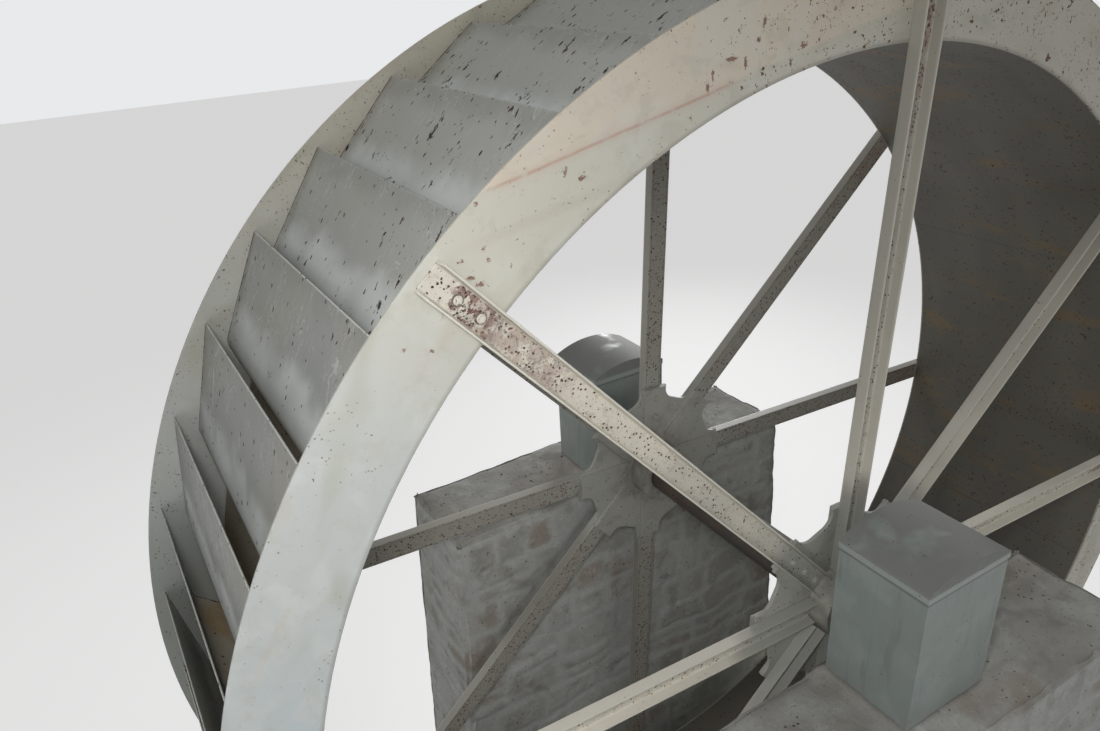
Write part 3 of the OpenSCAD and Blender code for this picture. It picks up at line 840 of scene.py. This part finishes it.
class WHEEL_OT_piers(bpy.types.Operator):
    """Piers of limewashed rubble, with worn arrises and mortar round the foot of each cover"""
    bl_idname = "wheel.piers"
    bl_label = "Masonry piers"

    # Relief of the faces: set-back of a stone, rough and fine grain
    SET_BACK, ROUGH, FINE = 0.008, 0.0022, 0.0016
    # Wear of the arrises: its reach and its depth
    WEAR_REACH, WEAR = 0.075, 0.020
    # Round a cover the top stays flat, then falls to its full relief
    FLAT, FALL = 0.012, 0.075
    # Mortar against the sheet metal: height and width
    MORTAR_H, MORTAR_W = 0.016, 0.05
    # Half the width of a joint, the rounding from it to the face of a stone, and of the stone's corners
    JOINT, SHOULDER, CORNER = 0.006, 0.030, 0.045

    def execute(self, context):
        # The offsets of noise_vector follow the clock unless they are seeded
        noise.seed_set(sizes().seed)
        for side, sign in SIDES:
            self.pier(side, sign, sizes())
        return {"FINISHED"}

    def pier(self, side, sign, s):
        bm = node_copy(f"{side}_pier")
        for axis in range(3):
            edges = [e for e in bm.edges if self.main_axis(e) == axis]
            longest = max(e.calc_length() for e in edges)
            bmesh.ops.subdivide_edges(bm, edges=edges, cuts=round(longest / s.wall_grid), use_grid_fill=True)
        bm.normal_update()
        low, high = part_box(f"{side}_pier")
        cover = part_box(f"{side}_cover")
        tone = bm.verts.layers.float.new("tone")
        joint = bm.verts.layers.float.new("joint")
        moves = []
        for v in bm.verts:
            p = v.co.copy()
            own, face, lean = self.stone(p, v.normal, sign, s.stone_len, s.stone_h)
            v[tone] = own
            v[joint] = 1.0 - face
            rough = noise.fractal(p * 17.0, 0.9, 2.1, 3)
            fine = noise.noise(p * 46.0)
            sink = s.joint_depth * (1.0 - face) + face * self.SET_BACK * (own + lean) \
                + self.ROUGH * (rough + 1.0) + self.FINE * (fine + 1.0)
            # Worn arrises: how far the point is from the nearest edge of the block
            to_edge = sorted(self.to_faces(p, low, high, sign))[1]
            worn = max(0.0, 1.0 - to_edge / self.WEAR_REACH)
            sink += worn * worn * self.WEAR * (noise.noise(p * 5.1) + 1.6)
            push = v.normal * -max(0.0, sink)
            if p.z < 0.001:
                push.z = 0.0
            if p.z > high.z - 0.001:
                off = max(cover[0].x - p.x, p.x - cover[1].x, cover[0].y - p.y, p.y - cover[1].y)
                push *= min(1.0, max(0.0, (off - self.FLAT) / self.FALL))
                if off > -0.004:
                    mortar = max(0.0, 1.0 - abs(off) / self.MORTAR_W)
                    push.z += self.MORTAR_H * mortar ** 2 * (1.2 + 0.5 * rough)
            moves.append(push)
        for v, push in zip(bm.verts, moves):
            v.co += push
        piece = new_piece(f"{side}_masonry", bm, "supports", "masonry", smooth=75.0, even=False)
        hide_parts(f"{side}_pier")

    def stone(self, p, normal, sign, length, height):
        """The stone of the coursed rubble at a point.

        Gives its own number from 0 to 1, how far the point is on its face (0 in a joint), and its lean.
        """
        axis = max(range(3), key=lambda i: abs(normal[i]))
        q = p + noise.noise_vector(p * 2.3) * 0.075 + noise.noise_vector(p * 8.0) * 0.018
        along, up = ((q.y, q.z), (q.x, q.z), (q.x, q.y * 0.7))[axis]
        course = math.floor(up / height)
        step = along / length + noise.cell(Vector((course + 0.5, axis + 0.5, sign * 3.5))) * 4.0
        place = math.floor(step)
        a, b = step - place, up / height - course
        key = Vector((place + 0.5, course + 0.5, axis * 5 + sign * 20 + 0.5))
        kind = noise.cell(key)
        half = 0
        if kind > 0.35:
            # Two flat stones, one on the other
            half, b, height = math.floor(b * 2), b * 2 % 1, height / 2
        elif kind < -0.6:
            # Two short stones side by side
            half, a, length = math.floor(a * 2), a * 2 % 1, length / 2
        key.z += 1 + half
        own = noise.cell(key) * 0.5 + 0.5
        a, b = min(a, 1 - a) * length, min(b, 1 - b) * height
        gap = min(a, b)
        if a < self.CORNER and b < self.CORNER:
            gap = self.CORNER - math.hypot(self.CORNER - a, self.CORNER - b)
        face = min(1.0, max(0.0, (gap - self.JOINT) / self.SHOULDER))
        face = face * face * (3 - 2 * face)
        lean = 0.6 + 0.8 * noise.noise(Vector((a * 6.0, b * 6.0, own * 40.0)))
        if axis == 2:
            # Joints on the top are nearly filled
            face = 0.75 + face * 0.25
        return own, face, lean

    @staticmethod
    def main_axis(edge):
        way = edge.verts[1].co - edge.verts[0].co
        return max(range(3), key=lambda i: abs(way[i]))

    @staticmethod
    def to_faces(p, low, high, sign):
        """Distances to the six faces of the block, three of which lean in by the batter.

        The foot counts as 0.2 m deeper than it is, so that its edges don't wear.
        """
        batter = BATTER * p.z / high.z
        outer = (high.y - batter - p.y) if sign > 0 else (p.y - low.y - batter)
        inner = (p.y - low.y) if sign > 0 else (high.y - p.y)
        return [abs(d) for d in (p.x - low.x - batter, high.x - batter - p.x, outer, inner, p.z + 0.2,
                                 high.z - p.z)]


class WHEEL_OT_stage(bpy.types.Operator):
    """Pale floor, plain light and the camera at the viewing angle"""
    bl_idname = "wheel.stage"
    bl_label = "Stage, light and camera"

    def execute(self, context):
        light = context.scene.wheel_light
        self.floor(light)
        self.lamps(light)
        self.sky(light)
        self.camera(context.scene)
        context.scene.view_settings.view_transform = "Standard"
        return {"FINISHED"}

    def floor(self, light):
        bm = bmesh.new()
        bmesh.ops.create_grid(bm, x_segments=1, y_segments=1, size=40.0)
        mesh = bpy.data.meshes.new("floor")
        bm.to_mesh(mesh)
        bm.free()
        floor = bpy.data.objects.new("floor", mesh)
        bpy.context.scene.collection.objects.link(floor)
        # Seen by the camera and in gloss, the floor glows a little, so that it shows nearly white
        f = Finish("floor", paints().floor, rough=0.8)
        camera, gloss, through = (f.node("LightPath", {}, {}, out=f"Is {kind} Ray")
                                  for kind in ("Camera", "Glossy", "Transmission"))
        seen = camera.most(gloss).most(through)
        f.layer(seen, (0.50, 0.50, 0.495))
        glow = f.mix(seen, (0.0, 0.0, 0.0), (light.glow,) * 3)
        mesh.materials.append(f.done(sheen=0.2, glow=glow))

    def lamps(self, light):
        for name, at, aim, power, size, spread in LAMPS:
            data = bpy.data.lights.new(name, "AREA")
            data.shape, data.size, data.energy = "SQUARE", size, getattr(light, power)
            # Each lamp keeps to the wheel, so that it throws no pool on the floor
            data.spread = math.radians(spread)
            lamp = bpy.data.objects.new(name, data)
            lamp.location = at
            lamp.visible_camera = False
            lamp.rotation_euler = (Vector(aim) - Vector(at)).to_track_quat("-Z", "Y").to_euler()
            bpy.context.scene.collection.objects.link(lamp)

    def sky(self, light):
        """Even light from all round, which the camera sees as a pale background."""
        world = bpy.data.worlds.new("studio")
        world.use_nodes = True
        tree = world.node_tree
        tree.nodes.clear()
        path, white, soft, mix, out = (tree.nodes.new("ShaderNode" + kind) for kind in (
            "LightPath", "Background", "Background", "MixShader", "OutputWorld"))
        white.inputs["Color"].default_value = (0.81, 0.82, 0.83, 1.0)
        soft.inputs["Strength"].default_value = light.sky
        tree.links.new(path.outputs["Is Camera Ray"], mix.inputs[0])
        tree.links.new(soft.outputs[0], mix.inputs[1])
        tree.links.new(white.outputs[0], mix.inputs[2])
        tree.links.new(mix.outputs[0], out.inputs["Surface"])
        bpy.context.scene.world = world

    def camera(self, scene):
        data = bpy.data.cameras.new("view")
        data.sensor_fit, data.sensor_width, data.lens = "HORIZONTAL", SENSOR, LENS
        data.clip_start, data.clip_end = 0.05, 300.0
        camera = bpy.data.objects.new("view", data)
        view = VIEW_ALONG.normalized()
        right = (VIEW_RIGHT - view * VIEW_RIGHT.dot(view)).normalized()
        turn = Matrix((right, right.cross(view), -view)).transposed()
        camera.matrix_world = Matrix.Translation(VIEW_AT) @ turn.to_4x4()
        scene.collection.objects.link(camera)
        scene.camera = camera


OPERATORS = (WHEEL_OT_shrouds, WHEEL_OT_seams, WHEEL_OT_buckets, WHEEL_OT_spokes, WHEEL_OT_hubs,
             WHEEL_OT_bolts, WHEEL_OT_shaft, WHEEL_OT_bearings, WHEEL_OT_covers, WHEEL_OT_piers,
             WHEEL_OT_stage)


class WHEEL_PT_panel(bpy.types.Panel):
    """Lists the pieces of the wheel and their settings"""
    bl_idname = "WHEEL_PT_panel"
    bl_label = "Water wheel"
    bl_space_type = "VIEW_3D"
    bl_region_type = "UI"
    bl_category = "Water wheel"

    def draw(self, context):
        for operator in OPERATORS:
            self.layout.operator(operator.bl_idname)
        for group in ("wheel_sizes", "wheel_colours", "wheel_light"):
            settings = getattr(context.scene, group)
            column = self.layout.column()
            for name in settings.bl_rna.properties.keys():
                if name not in ("rna_type", "name"):
                    column.prop(settings, name)


GROUPS = {"wheel_sizes": WheelSizes, "wheel_colours": WheelColours, "wheel_light": WheelLight}


def register():
    for cls in (*GROUPS.values(), *OPERATORS, WHEEL_PT_panel):
        bpy.utils.register_class(cls)
    for name, group in GROUPS.items():
        setattr(bpy.types.Scene, name, PointerProperty(type=group))


def unregister():
    for name in GROUPS:
        delattr(bpy.types.Scene, name)
    for cls in reversed((*GROUPS.values(), *OPERATORS, WHEEL_PT_panel)):
        bpy.utils.unregister_class(cls)


def main():
    register()
    for operator in OPERATORS:
        family, name = operator.bl_idname.split(".")
        getattr(getattr(bpy.ops, family), name)()


if __name__ == "__main__":
    main()
